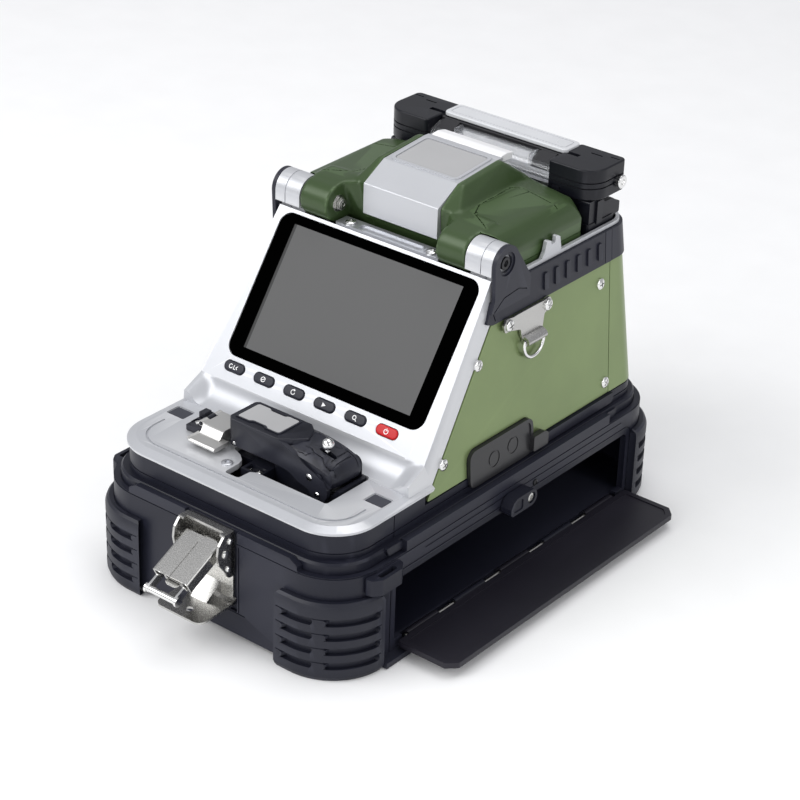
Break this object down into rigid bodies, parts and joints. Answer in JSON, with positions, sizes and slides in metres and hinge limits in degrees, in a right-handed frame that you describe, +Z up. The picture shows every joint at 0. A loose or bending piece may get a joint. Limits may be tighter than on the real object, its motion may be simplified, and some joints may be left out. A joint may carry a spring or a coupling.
{
  "type": "fiber fusion splicer",
  "caption": "Field fiber fusion splicer: rounded case with rubber corners and side compartment, sloping display with keys, built-in cleaver, hinged wind cover and tube heater.",
  "frame": {"origin": "under the middle of the bounding box, on the plane the corner bumpers stand on", "axes": "+Z up, -Y towards the latch and the screen side, +X towards the side with the compartment flap"},
  "size_m": [0.2062, 0.3062, 0.1976],
  "materials": {
    "case_plastic": "moulded, fine grain",
    "rubber": "moulded, satin",
    "trim_plastic": "moulded, satin",
    "silver_paint": "silver paint, satin",
    "green_anodised": "olive green paint, satin",
    "green_paint": "dark olive paint, satin",
    "steel": "stainless, brushed",
    "glass_black": "gloss black",
    "screen": "grey screen",
    "key_plastic": "satin",
    "key_red": "satin",
    "clear": "clear",
    "battery": "shrink sleeve",
    "aluminium": "machined",
    "port_rubber": "satin"
  },
  "bodies": {
    "chassis": {"base_case": "case_plastic", "base_collar": "case_plastic", "corner_bumper_front_left": "rubber", "corner_bumper_front_right": "rubber", "corner_bumper_rear_left": "rubber", "corner_bumper_rear_right": "rubber", "flap_hinge_pin": "steel", "latch_base_plate": "steel", "latch_bracket": "steel", "front_frame": "silver_paint", "display_bezel": "glass_black", "lcd_module": "screen", "crossbar": "silver_paint", "rear_panel": "green_anodised", "rear_trim": "trim_plastic", "top_rail": "silver_paint", "side_panel_left": "green_anodised", "side_panel_right": "green_anodised", "side_trim_left": "trim_plastic", "side_trim_right": "trim_plastic", "hinge_block_left": "silver_paint", "hinge_block_right": "silver_paint", "hinge_pin_left": "steel", "hinge_pin_right": "steel", "strap_lug_left": "steel", "strap_lug_right": "steel", "fibre_holder_left": "aluminium", "fibre_holder_right": "aluminium", "work_deck": "trim_plastic", "v_groove_block": "aluminium", "electrode_front": "steel", "electrode_rear": "steel", "camera_module": "trim_plastic", "battery_pack": "battery", "heater_base": "trim_plastic", "heater_plate": "aluminium", "cleaver_base": "trim_plastic", "cleaver_seat": "trim_plastic"},
    "side_flap": {"side_flap": "case_plastic"},
    "flap_knob": {"flap_knob": "case_plastic"},
    "latch_lever": {"latch_lever": "steel"},
    "latch_bail": {"latch_bail": "steel"},
    "wind_cover": {"wind_cover": "green_paint", "wind_cover_centre": "silver_paint"},
    "heater_lid": {"heater_lid_left": "trim_plastic", "heater_lid_right": "trim_plastic", "heater_lid_bar": "aluminium", "heater_window": "clear"},
    "cleaver_arm": {"cleaver_arm": "trim_plastic"},
    "cleaver_knob": {"cleaver_knob": "steel"},
    "cleaver_clamp": {"cleaver_clamp": "steel"},
    "d_ring_left": {"d_ring_left": "steel"},
    "d_ring_right": {"d_ring_right": "steel"},
    "port_cover": {"port_cover": "port_rubber"},
    "key_1": {"key_1": "key_plastic"},
    "key_2": {"key_2": "key_plastic"},
    "key_3": {"key_3": "key_plastic"},
    "key_4": {"key_4": "key_plastic"},
    "key_5": {"key_5": "key_plastic"},
    "key_6": {"key_6": "key_red"}
  },
  "joints": [
    {"name": "flap_hinge", "type": "hinge", "parent": "chassis", "child": "side_flap", "pos_m": [0.0668, 0.02048, 0.006], "axis": [0, 1, 0], "range_deg": [-90, 0]},
    {"name": "knob_turn", "type": "hinge", "parent": "chassis", "child": "flap_knob", "pos_m": [0.0713, 0.02208, 0.0475], "axis": [1, 0, 0], "range_deg": [0, 90]},
    {"name": "lever_hinge", "type": "hinge", "parent": "chassis", "child": "latch_lever", "pos_m": [-0.0147, -0.12312, 0.0505], "axis": [1, 0, 0], "range_deg": [-60, 15]},
    {"name": "bail_hinge", "type": "hinge", "parent": "latch_lever", "child": "latch_bail", "pos_m": [-0.0147, -0.13416, 0.04353], "axis": [1, 0, 0], "range_deg": [0, 25]},
    {"name": "wind_cover_hinge", "type": "hinge", "parent": "chassis", "child": "wind_cover", "pos_m": [-0.0147, 0.01498, 0.1735], "axis": [1, 0, 0], "range_deg": [0, 85]},
    {"name": "heater_lid_hinge", "type": "hinge", "parent": "chassis", "child": "heater_lid", "pos_m": [-0.0147, 0.11298, 0.185], "axis": [1, 0, 0], "range_deg": [-75, 0]},
    {"name": "key_1_press", "type": "slide", "parent": "chassis", "child": "key_1", "axis": [0, 0.8202, -0.5721], "range_m": [0, 0.001], "stiffness_N_per_m": 300},
    {"name": "key_2_press", "type": "slide", "parent": "chassis", "child": "key_2", "axis": [0, 0.8202, -0.5721], "range_m": [0, 0.001], "stiffness_N_per_m": 300},
    {"name": "key_3_press", "type": "slide", "parent": "chassis", "child": "key_3", "axis": [0, 0.8202, -0.5721], "range_m": [0, 0.001], "stiffness_N_per_m": 300},
    {"name": "key_4_press", "type": "slide", "parent": "chassis", "child": "key_4", "axis": [0, 0.8202, -0.5721], "range_m": [0, 0.001], "stiffness_N_per_m": 300},
    {"name": "key_5_press", "type": "slide", "parent": "chassis", "child": "key_5", "axis": [0, 0.8202, -0.5721], "range_m": [0, 0.001], "stiffness_N_per_m": 300},
    {"name": "key_6_press", "type": "slide", "parent": "chassis", "child": "key_6", "axis": [0, 0.8202, -0.5721], "range_m": [0, 0.001], "stiffness_N_per_m": 300},
    {"name": "cleaver_arm_hinge", "type": "hinge", "parent": "chassis", "child": "cleaver_arm", "pos_m": [0.0213, -0.06952, 0.0825], "axis": [0, 1, 0], "range_deg": [0, 55]},
    {"name": "cleaver_knob_slide", "type": "slide", "parent": "cleaver_arm", "child": "cleaver_knob", "axis": [1, 0, 0], "range_m": [-0.002, 0.004]},
    {"name": "clamp_hinge", "type": "hinge", "parent": "chassis", "child": "cleaver_clamp", "pos_m": [-0.0551, -0.07377, 0.0842], "axis": [0, 1, 0], "range_deg": [-70, 0]},
    {"name": "d_ring_left_swing", "type": "hinge", "parent": "chassis", "child": "d_ring_left", "pos_m": [-0.08812, 0.03818, 0.1263], "axis": [0, 1, 0], "range_deg": [0, 80]},
    {"name": "d_ring_right_swing", "type": "hinge", "parent": "chassis", "child": "d_ring_right", "pos_m": [0.05872, 0.03818, 0.1263], "axis": [0, 1, 0], "range_deg": [-80, 0]},
    {"name": "port_cover_hinge", "type": "hinge", "parent": "chassis", "child": "port_cover", "pos_m": [0.0623, 0.04748, 0.067], "axis": [0, 0, 1], "range_deg": [0, 100]}
  ]
}
